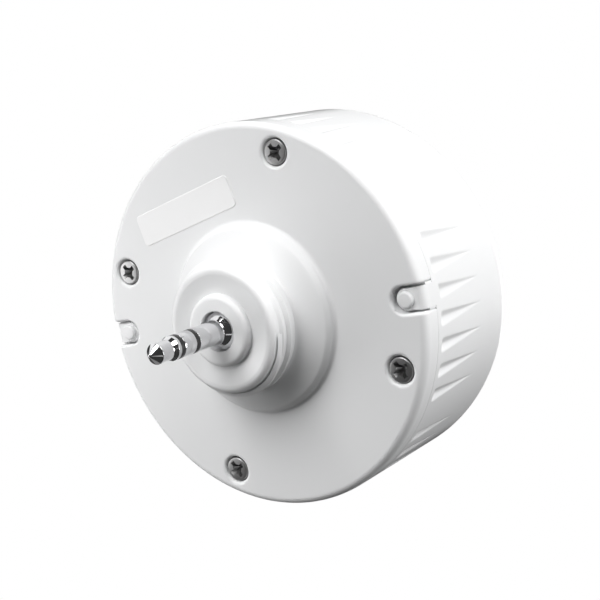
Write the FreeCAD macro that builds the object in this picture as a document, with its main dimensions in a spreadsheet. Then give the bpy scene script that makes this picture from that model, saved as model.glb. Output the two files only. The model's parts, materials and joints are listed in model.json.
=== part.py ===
import FreeCAD, Part
import math
import os
import re
import Sketcher
from FreeCAD import Placement, Rotation, Vector

# A plug-in occupancy sensor: a round housing with a dome lens in front and, at the back,
# a threaded collar round a three-contact audio plug.
# Frame: origin at the centre of the threaded collar's root, +Z up along the plug.
# In use the sensor hangs from its luminaire with the lens down. +X runs through one locating lug.

SIZES = {
    # Housing and cover
    "body_radius": 29.25,
    "body_depth": 26.4,
    "wall": 2.0,
    "front_plate": 2.2,
    "front_round": 2.75,
    "rear_round": 1.5,
    "seam_gap": 0.1,
    "cover_edge": 3.3,
    "cover_plate": 2.2,
    "spigot_height": 2.0,
    "spigot_wall": 1.4,
    "spigot_gap": 0.15,
    # Boss and threaded collar
    "boss_radius": 14.4,
    "boss_height": 3.25,
    "boss_side_height": 1.5,
    "boss_side_draft": 0.5,
    "boss_wall": 2.4,
    "boss_round": 0.9,
    "boss_foot_round": 0.8,
    "seat_plate": 2.6,
    "thread_radius": 10.4,
    "thread_length": 3.85,
    "thread_chamfer": 1.45,
    "collar_height": 4.75,
    "collar_lip": 0.55,
    "dish_depth": 0.5,
    "dish_slope": 1.1,
    # Screws in the cover
    "screw_inset": 3.85,
    "screw_angle": -22.5,
    "screw_head_radius": 1.95,
    "screw_head_height": 1.65,
    "screw_radius": 1.1,
    "screw_length": 8.0,
    "cross_span": 2.6,
    "cross_width": 0.6,
    "cross_depth": 0.9,
    "recess_depth": 1.8,
    "recess_gap": 0.25,
    "screw_hole_gap": 0.2,
    "screw_post_radius": 2.7,
    "post_gap": 0.3,
    # Locating lugs and their notches
    "lug_width": 3.0,
    "lug_length": 4.25,
    "lug_drop": 0.6,
    "lug_root": 7.0,
    "notch_gap": 0.45,
    "notch_end_gap": 0.8,
    "lug_pin_radius": 1.3,
    "lug_pin_inset": 2.85,
    # Grip grooves
    "groove_start": 4.35,
    "groove_length": 12.5,
    "groove_overrun": 1.0,
    "groove_width": 2.4,
    "groove_depth": 0.62,
    "groove_pitch": 7.5,
    "groove_middle": -7.5,
    "groove_count": 7,
    "groove_groups": 6,
    # Plug and its bushing
    "bushing_radius": 5.0,
    "bushing_rise": 1.6,
    "bushing_sink": 1.5,
    "bushing_spigot": 4.0,
    "bushing_round": 0.5,
    "bushing_gap": 0.1,
    "plug_radius": 1.75,
    "plug_shoulder_radius": 2.75,
    "plug_shoulder_gap": 0.25,
    "plug_shoulder_drop": 0.4,
    "plug_shoulder_slope": 0.9,
    "plug_shank_radius": 2.0,
    "shank_spare": 1.0,
    "sleeve_length": 5.75,
    "band_length": 0.8,
    "ring_length": 2.45,
    "tip_flange_length": 0.6,
    "tip_waist_length": 0.7,
    "tip_neck_radius": 1.43,
    "tip_neck_length": 1.5,
    "tip_flare_length": 0.8,
    "tip_cone_radius": 1.5,
    "tip_cone_length": 1.15,
    "tip_point_radius": 0.2,
    "core_radius": 0.45,
    "core_wall": 0.3,
    "core_step": 1.0,
    "fit_gap": 0.03,
    "washer_radius": 5.5,
    "washer_thickness": 0.5,
    "nut_flats": 6.0,
    "nut_height": 2.0,
    "tag_thickness": 0.4,
    "tag_width": 1.4,
    "tag_reach": 4.2,
    "tag_rim": 0.75,
    "solder_gap": 0.15,
    # Leads and their connector
    "lead_radius": 0.4,
    "lead_pitch": 2.5,
    "socket_length": 9.8,
    "socket_width": 5.6,
    "socket_height": 4.4,
    "socket_wall": 0.8,
    "socket_floor": 1.0,
    "socket_offset": 13.0,
    "connector_height": 3.6,
    "connector_gap": 0.1,
    # Circuit board
    "board_gap": 2.65,
    "board_thickness": 1.6,
    "board_lift": 6.0,
    "board_post_radius": 2.0,
    "board_post_gap": 0.4,
    "board_post_angle": 22.5,
    "board_post_count": 3,
    "board_screw_radius": 0.8,
    "board_screw_length": 5.0,
    "board_screw_head_radius": 1.7,
    "board_screw_head_height": 1.1,
    "part_gap": 0.05,
    # Lens and its retainer
    "lens_opening": 17.2,
    "lens_gap": 0.2,
    "lens_height": 9.6,
    "lens_wall": 0.8,
    "lens_lip": 1.7,
    "lens_flange_height": 1.0,
    "funnel_width": 1.6,
    "funnel_depth": 0.9,
    "retainer_wall": 1.2,
    "retainer_gap": 0.1,
    # Detector
    "can_radius": 4.15,
    "can_height": 3.6,
    "can_rim_radius": 4.6,
    "can_rim_height": 0.4,
    "can_stand_off": 0.6,
    "window_length": 4.2,
    "window_width": 3.4,
    "window_depth": 0.4,
    "window_gap": 0.05,
    "pin_radius": 0.22,
    "pin_circle": 2.54,
    "pin_hole_gap": 0.15,
    "pin_tail": 1.0,
    # Other parts on the board
    "led_radius": 1.5,
    "led_height": 3.0,
    "led_rim_radius": 1.9,
    "led_rim_height": 0.9,
    "led_offset": 10.5,
    "receiver_length": 5.6,
    "receiver_width": 4.4,
    "receiver_height": 3.2,
    "receiver_bump": 1.6,
    "receiver_offset": 10.5,
    "controller_size": 7.0,
    "controller_height": 1.2,
    "controller_offset": 8.5,
    "amplifier_length": 5.0,
    "amplifier_width": 4.0,
    "amplifier_height": 1.5,
    "amplifier_offset": 9.5,
    "regulator_length": 6.5,
    "regulator_width": 3.5,
    "regulator_height": 1.6,
    "regulator_offset": 11.0,
    "capacitor_radius": 3.15,
    "capacitor_height": 7.0,
    "capacitor_offset": 15.5,
    "capacitor_round": 0.4,
    # Sticker on the cover
    "sticker_length": 19.8,
    "sticker_width": 5.0,
    "sticker_thickness": 0.12,
    "sticker_round": 1.0,
    "sticker_gap": 0.15,
    "sticker_shift": -5.5,
    "sticker_turn": 11.0,
}

# Heights and radii that follow from the sizes, as formulas
FOLLOWING = {
    "face": "-boss_height",
    "seam": "face - cover_edge",
    "housing_top": "seam - seam_gap",
    "front": "face - body_depth",
    "floor": "front + front_plate",
    "bore": "body_radius - wall",
    "ceiling": "-seat_plate",
    "plate_under": "face - cover_plate",
    "register": "bore - spigot_gap",
    "boss_bore": "boss_radius - boss_wall",
    "collar_end_radius": "thread_radius - thread_chamfer",
    "dish": "collar_height - dish_depth",
    "dish_floor_radius": "collar_end_radius - collar_lip - dish_slope",
    "bushing_height": "dish + bushing_rise",
    "bushing_bore": "plug_shoulder_radius + plug_shoulder_gap",
    "ledge": "bushing_height - bushing_sink",
    "screw_circle": "body_radius - screw_inset",
    "screw_seat": "face - recess_depth",
    "screw_hole": "screw_radius + screw_hole_gap",
    "recess_radius": "screw_head_radius + recess_gap",
    "lug_inner": "body_radius - lug_length",
    "lug_pin_circle": "body_radius - lug_pin_inset",
    "notch_inner": "lug_inner - notch_end_gap",
    "sleeve_top": "bushing_height + sleeve_length",
    "ring_bottom": "sleeve_top + band_length",
    "ring_top": "ring_bottom + ring_length",
    "tip_bottom": "ring_top + band_length",
    "ring_core": "core_radius + core_wall",
    "sleeve_core": "ring_core + core_wall",
    "shank_bore": "sleeve_core + core_wall",
    "shank_end": "ceiling - washer_thickness - nut_height - shank_spare",
    "ring_end": "shank_end - 2 * core_step",
    "tip_end": "ring_end - 2 * core_step",
    "board_radius": "bore - board_gap",
    "lens_flange": "lens_opening + lens_lip",
    "board_post_circle": "lens_flange + board_post_gap + board_post_radius",
    "board_under": "floor + board_lift",
    "board_top": "board_under + board_thickness",
    "part_under": "board_under - part_gap",
    "part_base": "board_top + part_gap",
    "can_seat": "board_under - can_stand_off",
    "can_face": "can_seat - can_rim_height - can_height",
    "lens_base": "floor + lens_flange_height",
    "lens_side": "lens_opening - lens_gap",
    "connector_base": "part_base + socket_floor + connector_gap",
    "connector_top": "connector_base + connector_height",
    "sticker_away": "boss_radius + boss_foot_round + sticker_gap + sticker_width / 2",
    "sticker_right": "sticker_shift * cos(sticker_turn) - sticker_away * sin(sticker_turn)",
    "sticker_forward": "sticker_shift * sin(sticker_turn) + sticker_away * cos(sticker_turn)",
}

doc = FreeCAD.newDocument("OccupancySensor")
sheet = doc.addObject("Spreadsheet::Sheet", "Sheet")
for row, (alias, value) in enumerate(SIZES.items(), start=1):
    sheet.set(f"A{row}", alias)
    sheet.set(f"B{row}", str(value))
    sheet.setAlias(f"B{row}", alias)
doc.recompute()

TOLERANCE = 1e-4
PIN_ANGLES = ("45", "135", "225")
parts = []


# Small helpers

def cells(text, prefix="Sheet."):
    """The formula with each name replaced by its cell, or by the formula that it stands for."""
    def written_out(match):
        name = match.group(1)
        if name in FOLLOWING:
            return f"({cells(FOLLOWING[name], prefix)})"
        return prefix + name
    return re.sub(r"\b([a-z][a-z_]*)\b(?!\()", written_out, text)


def size(text):
    """The number that a formula gives."""
    return float(sheet.evalExpression(cells(text, prefix="")))


def bind(item, **formulas):
    """Ties properties of an object to formulas in the sheet's names."""
    for name, formula in formulas.items():
        item.setExpression(name, cells(formula))


def keep(item, label):
    """Names a finished sub-part, whose label is also its file's name."""
    item.Label = label
    parts.append(item)
    return item


def new_body(name):
    return doc.addObject("PartDesign::Body", f"{name}_body")


def origin_part(body, role):
    return next(item for item in body.Origin.OriginFeatures if item.Role == role)


def new_sketch(body, plane, height=None):
    """An empty sketch on one of the body's origin planes, lifted along Z when a height is given."""
    sketch = body.newObject("Sketcher::SketchObject", f"{body.Name}_sketch")
    sketch.AttachmentSupport = [(origin_part(body, plane), "")]
    sketch.MapMode = "FlatFace"
    if height is not None:
        sketch.setExpression(".AttachmentOffset.Base.z", cells(height))
    return sketch


def swing(sketch, angle):
    """Turns a level sketch about the Z axis."""
    sketch.AttachmentOffset.Rotation = Rotation(Vector(0, 0, 1), size(angle))
    sketch.setExpression(".AttachmentOffset.Rotation.Angle", cells(angle))


def pin_point(sketch, edge, end, across, up):
    """Holds a sketch point at two formulas, measured from the sketch's origin."""
    for kind, formula in (("DistanceX", across), ("DistanceY", up)):
        index = sketch.addConstraint(Sketcher.Constraint(kind, -1, 1, edge, end, size(formula)))
        sketch.setExpression(f"Constraints[{index}]", cells(formula))


def add_outline(sketch, corners):
    """A closed run of straight lines through corners given as pairs of formulas."""
    places = [Vector(size(across), size(up), 0) for across, up in corners]
    for index, start in enumerate(places):
        finish = places[(index + 1) % len(places)]
        sketch.addGeometry(Part.LineSegment(start, finish), False)
    for index in range(len(places)):
        before = (index - 1) % len(places)
        sketch.addConstraint(Sketcher.Constraint("Coincident", before, 2, index, 1))
    for index, (across, up) in enumerate(corners):
        pin_point(sketch, index, 1, across, up)


def add_circle(sketch, radius, across="0", up="0"):
    """A circle whose radius and centre follow formulas."""
    centre = Vector(size(across), size(up), 0)
    edge = sketch.addGeometry(Part.Circle(centre, Vector(0, 0, 1), size(radius)), False)
    index = sketch.addConstraint(Sketcher.Constraint("Radius", edge, size(radius)))
    sketch.setExpression(f"Constraints[{index}]", cells(radius))
    if across == "0" and up == "0":
        sketch.addConstraint(Sketcher.Constraint("Coincident", edge, 3, -1, 1))
    else:
        pin_point(sketch, edge, 3, across, up)


def on_circle(radius, angle):
    """The pair of formulas for a point on a circle about the Z axis."""
    return f"{radius} * cos({angle})", f"{radius} * sin({angle})"


def add_rim_slot(sketch, half_width, inner, outer):
    """A slot along +X: round at its inner end, and closed by an arc about the origin."""
    half, start, end = size(half_width), size(inner), size(outer)
    centre = Vector(start + half, 0, 0)
    shoulder = math.sqrt(end**2 - half**2)
    reach = math.atan2(half, shoulder)
    sides = [(Vector(centre.x, side, 0), Vector(shoulder, side, 0)) for side in (half, -half)]
    upper, lower = (sketch.addGeometry(Part.LineSegment(*side), False) for side in sides)
    axis = Vector(0, 0, 1)
    inner_circle = Part.Circle(centre, axis, half)
    bend = sketch.addGeometry(Part.ArcOfCircle(inner_circle, math.pi / 2, -math.pi / 2), False)
    rim = sketch.addGeometry(Part.ArcOfCircle(Part.Circle(Vector(), axis, end), -reach, reach), False)
    for first, first_end, second, second_end in (
        (bend, 1, upper, 1), (bend, 2, lower, 1), (rim, 1, lower, 2), (rim, 2, upper, 2), (rim, 3, -1, 1),
    ):
        sketch.addConstraint(Sketcher.Constraint("Coincident", first, first_end, second, second_end))
    sketch.addConstraint(Sketcher.Constraint("Horizontal", upper))
    sketch.addConstraint(Sketcher.Constraint("Horizontal", lower))
    for edge, radius in ((bend, half_width), (rim, outer)):
        index = sketch.addConstraint(Sketcher.Constraint("Radius", edge, size(radius)))
        sketch.setExpression(f"Constraints[{index}]", cells(radius))
    pin_point(sketch, bend, 3, f"{inner} + {half_width}", "0")


def pad(body, sketch, length, downwards=False):
    feature = body.newObject("PartDesign::Pad", f"{body.Name}_pad")
    feature.Profile = sketch
    feature.Reversed = downwards
    feature.Length = size(length)
    bind(feature, Length=length)
    body.Tip = feature
    doc.recompute()
    return feature


def pocket(body, sketch, depth, upwards=False):
    """Cuts the sketch down into the solid, or up into it, and checks that it left new faces."""
    faces_before = len(body.Shape.Faces)
    feature = body.newObject("PartDesign::Pocket", f"{body.Name}_pocket")
    feature.Profile = sketch
    feature.Reversed = upwards
    feature.Length = size(depth)
    bind(feature, Length=depth)
    body.Tip = feature
    doc.recompute()
    if len(body.Shape.Faces) <= faces_before:
        raise RuntimeError(f"{feature.Name} cuts nothing")
    return feature


def repeat_round(body, feature, count):
    """Repeats a feature evenly about the Z axis."""
    pattern = body.newObject("PartDesign::PolarPattern", f"{body.Name}_pattern")
    pattern.Originals = [feature]
    pattern.Axis = (origin_part(body, "Z_Axis"), [""])
    pattern.Angle = 360
    bind(pattern, Occurrences=count)
    body.Tip = pattern
    doc.recompute()
    return pattern


def revolve(body, sketch):
    feature = body.newObject("PartDesign::Revolution", f"{body.Name}_turn")
    feature.Profile = sketch
    feature.ReferenceAxis = (sketch, ["V_Axis"])
    feature.Angle = 360
    body.Tip = feature
    doc.recompute()
    return feature


def turned(name, corners):
    """A body turned from an outline of radius and height formulas."""
    body = new_body(name)
    sketch = new_sketch(body, "XZ_Plane")
    add_outline(sketch, corners)
    revolve(body, sketch)
    return body


def ring_edges(shape, radius, height):
    """Names of the round edges about the Z axis with this radius, at this height."""
    names = []
    for index, edge in enumerate(shape.Edges, start=1):
        curve = edge.Curve
        if not isinstance(curve, Part.Circle) or abs(curve.Radius - size(radius)) > TOLERANCE:
            continue
        centre = curve.Center
        if math.hypot(centre.x, centre.y) < TOLERANCE and abs(centre.z - size(height)) < TOLERANCE:
            names.append(f"Edge{index}")
    return names


def soften(body, rounding, *rings):
    """Rounds the ring edges, given as pairs of radius and height formulas."""
    base = body.Tip
    names = []
    for radius, height in rings:
        names += ring_edges(base.Shape, radius, height)
    feature = body.newObject("PartDesign::Fillet", f"{body.Name}_round")
    feature.Base = (base, names)
    feature.Radius = size(rounding)
    bind(feature, Radius=rounding)
    body.Tip = feature
    doc.recompute()


def box(name, length, width, height, across, along, base):
    """A box centred on a point in plan, standing on a height."""
    item = doc.addObject("Part::Box", name)
    bind(item, Length=length, Width=width, Height=height)
    item.setExpression(".Placement.Base.x", cells(f"{across} - ({length}) / 2"))
    item.setExpression(".Placement.Base.y", cells(f"{along} - ({width}) / 2"))
    item.setExpression(".Placement.Base.z", cells(base))
    return item


def cylinder(name, radius, height, base, across="0", along="0"):
    """An upright cylinder at a point in plan, standing on a height."""
    item = doc.addObject("Part::Cylinder", name)
    bind(item, Radius=radius, Height=height)
    item.setExpression(".Placement.Base.x", cells(across))
    item.setExpression(".Placement.Base.y", cells(along))
    item.setExpression(".Placement.Base.z", cells(base))
    return item


def join(name, *items):
    result = doc.addObject("Part::MultiFuse", name)
    result.Shapes = list(items)
    return result


def group(name, items):
    """Several separate solids kept as one sub-part."""
    result = doc.addObject("Part::Compound", name)
    result.Links = list(items)
    return result


def cut(name, base, tool):
    result = doc.addObject("Part::Cut", name)
    result.Base = base
    result.Tool = tool
    return result


# Rear cover: sloping boss, threaded collar with a dished end, skirt and register for the housing

def make_rear_cover():
    opening = "bushing_spigot + bushing_gap"
    shoulder = ("boss_radius - boss_side_draft", "face + boss_side_height")
    body = turned("rear_cover", [
        (opening, "dish"),
        ("dish_floor_radius", "dish"),
        ("collar_end_radius - collar_lip", "collar_height"),
        ("collar_end_radius", "collar_height"),
        ("thread_radius", "thread_length"),
        ("thread_radius", "0"),
        shoulder,
        ("boss_radius", "face"),
        ("body_radius", "face"),
        ("body_radius", "seam"),
        ("register", "seam"),
        ("register", "seam - spigot_height"),
        ("register - spigot_wall", "seam - spigot_height"),
        ("register - spigot_wall", "plate_under"),
        ("boss_bore", "plate_under"),
        ("boss_bore", "ceiling"),
        (opening, "ceiling"),
    ])
    soften(body, "rear_round", ("body_radius", "face"))
    soften(body, "boss_round", shoulder)
    soften(body, "boss_foot_round", ("boss_radius", "face"))

    at_screw = on_circle("screw_circle", "screw_angle")
    seats = new_sketch(body, "XY_Plane", "plate_under")
    add_circle(seats, "screw_post_radius", *at_screw)
    repeat_round(body, pad(body, seats, "plate_under - seam", downwards=True), "4")
    clearance = new_sketch(body, "XY_Plane", "seam")
    add_circle(clearance, "screw_post_radius + post_gap", *at_screw)
    repeat_round(body, pocket(body, clearance, "spigot_height"), "4")
    recess = new_sketch(body, "XY_Plane", "face")
    add_circle(recess, "recess_radius", *at_screw)
    repeat_round(body, pocket(body, recess, "recess_depth"), "4")
    hole = new_sketch(body, "XY_Plane", "screw_seat")
    add_circle(hole, "screw_hole", *at_screw)
    repeat_round(body, pocket(body, hole, "screw_seat - seam"), "4")

    notch = new_sketch(body, "XY_Plane", "face")
    add_rim_slot(notch, "lug_width / 2 + notch_gap", "notch_inner", "body_radius + wall")
    repeat_round(body, pocket(body, notch, "cover_edge + spigot_height"), "2")
    return keep(body, "rear_cover")


# Front housing: a deep cup with a lens opening, posts, locating lugs and grip grooves

def make_front_housing():
    body = turned("front_housing", [
        ("body_radius", "housing_top"),
        ("body_radius", "front"),
        ("lens_opening + funnel_width", "front"),
        ("lens_opening", "front + funnel_depth"),
        ("lens_opening", "floor"),
        ("bore", "floor"),
        ("bore", "housing_top"),
    ])
    soften(body, "front_round", ("body_radius", "front"))

    at_screw = on_circle("screw_circle", "screw_angle")
    screw_post = new_sketch(body, "XY_Plane", "housing_top")
    add_circle(screw_post, "screw_post_radius", *at_screw)
    repeat_round(body, pad(body, screw_post, "housing_top - floor", downwards=True), "4")
    screw_bore = new_sketch(body, "XY_Plane", "housing_top")
    add_circle(screw_bore, "screw_radius + fit_gap", *at_screw)
    repeat_round(body, pocket(body, screw_bore, "screw_length"), "4")

    at_post = on_circle("board_post_circle", "board_post_angle")
    board_post = new_sketch(body, "XY_Plane", "floor")
    add_circle(board_post, "board_post_radius", *at_post)
    repeat_round(body, pad(body, board_post, "board_lift"), "board_post_count")
    post_bore = new_sketch(body, "XY_Plane", "board_under")
    add_circle(post_bore, "board_screw_radius + fit_gap", *at_post)
    repeat_round(body, pocket(body, post_bore, "board_screw_length"), "board_post_count")

    lug = new_sketch(body, "XY_Plane", "face - lug_drop")
    add_rim_slot(lug, "lug_width / 2", "lug_inner", "body_radius")
    repeat_round(body, pad(body, lug, "cover_edge - lug_drop + seam_gap + lug_root", downwards=True), "2")
    lug_pin = new_sketch(body, "XY_Plane", "face - lug_drop")
    add_circle(lug_pin, "lug_pin_radius", "lug_pin_circle")
    repeat_round(body, pad(body, lug_pin, "lug_drop"), "2")
    cut_grooves(body)
    return keep(body, "front_housing")


def cut_grooves(body):
    """Cuts V grooves down the wall. Each narrows and fades out where its sides meet at the surface."""
    half_width, side = "groove_width / 2", "sqrt((groove_width / 2)^2 + groove_depth^2)"
    taper = f"-atan(groove_depth * ({half_width}) / ({side}) / groove_length)"
    sketch = new_sketch(body, "XY_Plane", "face - groove_start")
    swing(sketch, "groove_middle - groove_pitch * (groove_count - 1) / 2")
    add_outline(sketch, [
        ("body_radius - groove_depth", "0"),
        ("body_radius + groove_depth * 2", f"-3 * {half_width}"),
        ("body_radius + groove_depth * 2", f"3 * {half_width}"),
    ])
    groove = pocket(body, sketch, "groove_length + groove_overrun")
    bind(groove, TaperAngle=taper)
    everywhere = body.newObject("PartDesign::MultiTransform", "grip_grooves")
    everywhere.Originals = [groove]
    row = body.newObject("PartDesign::PolarPattern", "groove_row")
    around = body.newObject("PartDesign::PolarPattern", "groove_groups")
    for pattern in (row, around):
        pattern.Axis = (origin_part(body, "Z_Axis"), [""])
    bind(row, Angle="groove_pitch * (groove_count - 1)", Occurrences="groove_count")
    around.Angle = 360
    bind(around, Occurrences="groove_groups")
    everywhere.Transformations = [row, around]
    body.Tip = everywhere
    doc.recompute()


# Screws: a round head with a cross recess on a plain shank

def make_screw(name, place, seat, head_radius, head_height, shank_radius, shank_length):
    head = cylinder(f"{name}_head", head_radius, head_height, seat, *place)
    shank = cylinder(f"{name}_shank", shank_radius, f"{shank_length} + {head_height} / 2",
                     f"{seat} - ({shank_length})", *place)
    bottom = f"{seat} + {head_height} - cross_depth"
    bars = [
        box(f"{name}_cross_a", "cross_span", "cross_width", "cross_depth * 2", *place, bottom),
        box(f"{name}_cross_b", "cross_width", "cross_span", "cross_depth * 2", *place, bottom),
    ]
    return cut(name, join(f"{name}_solid", head, shank), join(f"{name}_cross", *bars))


def make_screw_ring(label, count, circle, angle, *sizes):
    """Screws spaced evenly about the Z axis, kept as one group."""
    screws = []
    for index in range(count):
        place = on_circle(circle, f"({angle} + {index} * 360 / {count})")
        screws.append(make_screw(f"{label}_{index + 1}", place, *sizes))
    return keep(group(label, screws), label)


# Audio plug: contacts and insulators one inside the other, with solder tags behind

def make_bushing():
    bore = "plug_shank_radius + bushing_gap"
    body = turned("plug_bushing", [
        (bore, "ceiling + bushing_gap"),
        ("bushing_spigot", "ceiling + bushing_gap"),
        ("bushing_spigot", "dish"),
        ("bushing_radius", "dish"),
        ("bushing_radius", "bushing_height"),
        ("bushing_bore", "bushing_height"),
        ("bushing_bore", "ledge"),
        (bore, "ledge"),
    ])
    soften(body, "bushing_round", ("bushing_radius", "bushing_height"), ("bushing_bore", "bushing_height"))
    return keep(body, "plug_bushing")


def make_sleeve():
    shoulder = "bushing_height - plug_shoulder_drop"
    body = turned("plug_sleeve", [
        ("shank_bore + fit_gap", "shank_end"),
        ("plug_shank_radius", "shank_end"),
        ("plug_shank_radius", "ledge"),
        ("plug_shoulder_radius", "ledge"),
        ("plug_shoulder_radius", shoulder),
        ("plug_radius", f"{shoulder} + plug_shoulder_slope"),
        ("plug_radius", "sleeve_top"),
        ("shank_bore + fit_gap", "sleeve_top"),
    ])
    return keep(body, "plug_sleeve")


def make_collared_tube(label, inner, outer, bottom, collar_bottom, collar_top):
    """A contact or an insulator: a thin tube with the visible collar at its upper end."""
    body = turned(label, [
        (inner, bottom),
        (outer, bottom),
        (outer, collar_bottom),
        ("plug_radius", collar_bottom),
        ("plug_radius", collar_top),
        (inner, collar_top),
    ])
    return keep(body, label)


def make_tip():
    flange = "tip_bottom + tip_flange_length"
    waist = f"{flange} + tip_waist_length"
    neck = f"{waist} + tip_neck_length"
    shoulder = f"{neck} + tip_flare_length"
    point = f"{shoulder} + tip_cone_length"
    body = turned("plug_tip", [
        ("0", "tip_end"),
        ("core_radius", "tip_end"),
        ("core_radius", "tip_bottom"),
        ("plug_radius", "tip_bottom"),
        ("plug_radius", flange),
        ("tip_neck_radius", waist),
        ("tip_neck_radius", neck),
        ("tip_cone_radius", shoulder),
        ("tip_point_radius", point),
        ("0", point),
    ])
    return keep(body, "plug_tip")


def make_plug_nut():
    outside = doc.addObject("Part::Prism", "nut_outside")
    bind(outside, Circumradius="nut_flats / 2 / cos(30)", Height="nut_height")
    bottom = "ceiling - washer_thickness - nut_height"
    outside.setExpression(".Placement.Base.z", cells(bottom))
    hole = cylinder("nut_hole", "plug_shank_radius + fit_gap", "nut_height * 2", f"{bottom} - nut_height / 2")
    return keep(cut("plug_nut", outside, hole), "plug_nut")


def make_plug_washer():
    bottom = "ceiling - washer_thickness"
    outside = cylinder("washer_outside", "washer_radius", "washer_thickness", bottom)
    hole = cylinder("washer_hole", "plug_shank_radius + bushing_gap", "washer_thickness * 2",
                    f"{bottom} - washer_thickness / 2")
    return keep(cut("plug_washer", outside, hole), "plug_washer")


def make_tag(name, top, bore=None):
    """A solder tag under the end of its contact: a round eye, open where the core passes, and a tongue."""
    bottom = f"{top} - tag_thickness"
    eye_radius = f"{bore} + tag_rim" if bore else "tag_rim"
    eye = cylinder(f"{name}_eye", eye_radius, "tag_thickness", bottom)
    tongue = box(f"{name}_tongue", "tag_width", "tag_reach", "tag_thickness", "0", "tag_reach / 2", bottom)
    tag = join(f"{name}_solid", eye, tongue)
    if not bore:
        return tag
    hole = cylinder(f"{name}_hole", bore, "tag_thickness * 2", f"{bottom} - tag_thickness / 2")
    return cut(name, tag, hole)


def make_plug_tags():
    tags = [
        make_tag("sleeve_tag", "shank_end", "shank_bore + fit_gap"),
        make_tag("ring_tag", "ring_end", "ring_core + fit_gap"),
        make_tag("tip_tag", "tip_end"),
    ]
    return keep(group("plug_terminals", tags), "plug_terminals")


def bent_lead(start, corner, finish, radius):
    """A round lead along two straight runs, joined by as large an arc as they allow."""
    first, last = (start - corner), (finish - corner)
    half_turn = (math.pi - first.getAngle(last)) / 2
    cut_back = 0.45 * min(first.Length, last.Length)
    near = corner + Vector(first).normalize() * cut_back
    far = corner + Vector(last).normalize() * cut_back
    inward = (Vector(first).normalize() + Vector(last).normalize()).normalize()
    bend_radius = cut_back / math.tan(half_turn)
    middle = corner + inward * (bend_radius / math.cos(half_turn) - bend_radius)
    path = Part.Wire([
        Part.LineSegment(start, near).toShape(),
        Part.Arc(near, middle, far).toShape(),
        Part.LineSegment(far, finish).toShape(),
    ])
    ring = Part.Wire(Part.makeCircle(radius, start, corner - start))
    print("lead", "length", round(path.Length, 2), "bend radius", round(bend_radius, 2))
    return path.makePipeShell([ring], True, False)


def make_leads():
    """Three leads from the tags' tongues to the connector on the board."""
    leads = []
    for side, contact_end in ((-1, "shank_end"), (0, "ring_end"), (1, "tip_end")):
        height = size(f"{contact_end} - tag_thickness / 2")
        across = side * size("lead_pitch")
        start = Vector(0, size("tag_reach + solder_gap"), height)
        corner = Vector(across, size("socket_offset"), height)
        finish = Vector(across, size("socket_offset"), size("connector_top"))
        leads.append(bent_lead(start, corner, finish, size("lead_radius")))
    feature = doc.addObject("Part::Feature", "plug_leads")
    feature.Shape = Part.makeCompound(leads)
    feature.Placement = Placement()
    return keep(feature, "plug_leads")


# Circuit board and what is on it

def make_board():
    body = new_body("main_board")
    outline = new_sketch(body, "XY_Plane", "board_under")
    add_circle(outline, "board_radius")
    pad(body, outline, "board_thickness")
    at_screw = on_circle("screw_circle", "screw_angle")
    at_post = on_circle("board_post_circle", "board_post_angle")
    holes = (
        ("screw_post_radius + post_gap", at_screw, "4"),
        ("board_screw_radius + screw_hole_gap", at_post, "board_post_count"),
    )
    for radius, place, count in holes:
        sketch = new_sketch(body, "XY_Plane", "board_top")
        add_circle(sketch, radius, *place)
        repeat_round(body, pocket(body, sketch, "board_thickness"), count)
    for angle in PIN_ANGLES:
        sketch = new_sketch(body, "XY_Plane", "board_top")
        add_circle(sketch, "pin_radius + pin_hole_gap", *on_circle("pin_circle", angle))
        pocket(body, sketch, "board_thickness")
    return keep(body, "main_board")


def make_detector():
    can = turned("pir_can", [
        ("0", "can_face"),
        ("can_radius", "can_face"),
        ("can_radius", "can_seat - can_rim_height"),
        ("can_rim_radius", "can_seat - can_rim_height"),
        ("can_rim_radius", "can_seat"),
        ("0", "can_seat"),
    ])
    soften(can, "can_rim_height", ("can_radius", "can_face"))
    window = new_sketch(can, "XY_Plane", "can_face")
    half_length, half_width = "window_length / 2", "window_width / 2"
    add_outline(window, [
        (f"-{half_length}", f"-{half_width}"),
        (half_length, f"-{half_width}"),
        (half_length, half_width),
        (f"-{half_length}", half_width),
    ])
    pocket(can, window, "window_depth", upwards=True)
    keep(can, "pir_can")
    pane = box("pir_window", "window_length - 2 * window_gap", "window_width - 2 * window_gap",
               "window_depth", "0", "0", "can_face")
    keep(pane, "pir_window")
    length = "can_stand_off + board_thickness + pin_tail"
    pins = []
    for index, angle in enumerate(PIN_ANGLES, start=1):
        place = on_circle("pin_circle", angle)
        pins.append(cylinder(f"pir_pin_{index}", "pin_radius", length, "can_seat", *place))
    keep(group("pir_pins", pins), "pir_pins")


def make_domed_part(label, across):
    """A small round-nosed part that hangs under the board."""
    body = turned(label, [
        ("0", "-led_height"),
        ("led_radius", "-led_height"),
        ("led_radius", "-led_rim_height"),
        ("led_rim_radius", "-led_rim_height"),
        ("led_rim_radius", "0"),
        ("0", "0"),
    ])
    soften(body, "led_radius * 0.9", ("led_radius", "-led_height"))
    body.setExpression(".Placement.Base.x", cells(across))
    body.setExpression(".Placement.Base.z", cells("part_under"))
    return keep(body, label)


def make_receiver():
    bottom = "part_under - receiver_height"
    case = box("receiver_case", "receiver_length", "receiver_width", "receiver_height",
               "0", "-receiver_offset", bottom)
    bump = cylinder("receiver_lens", "receiver_bump", "receiver_bump / 2", f"{bottom} - receiver_bump / 2",
                    "0", "-receiver_offset")
    return keep(join("ir_receiver", case, bump), "ir_receiver")


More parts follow.
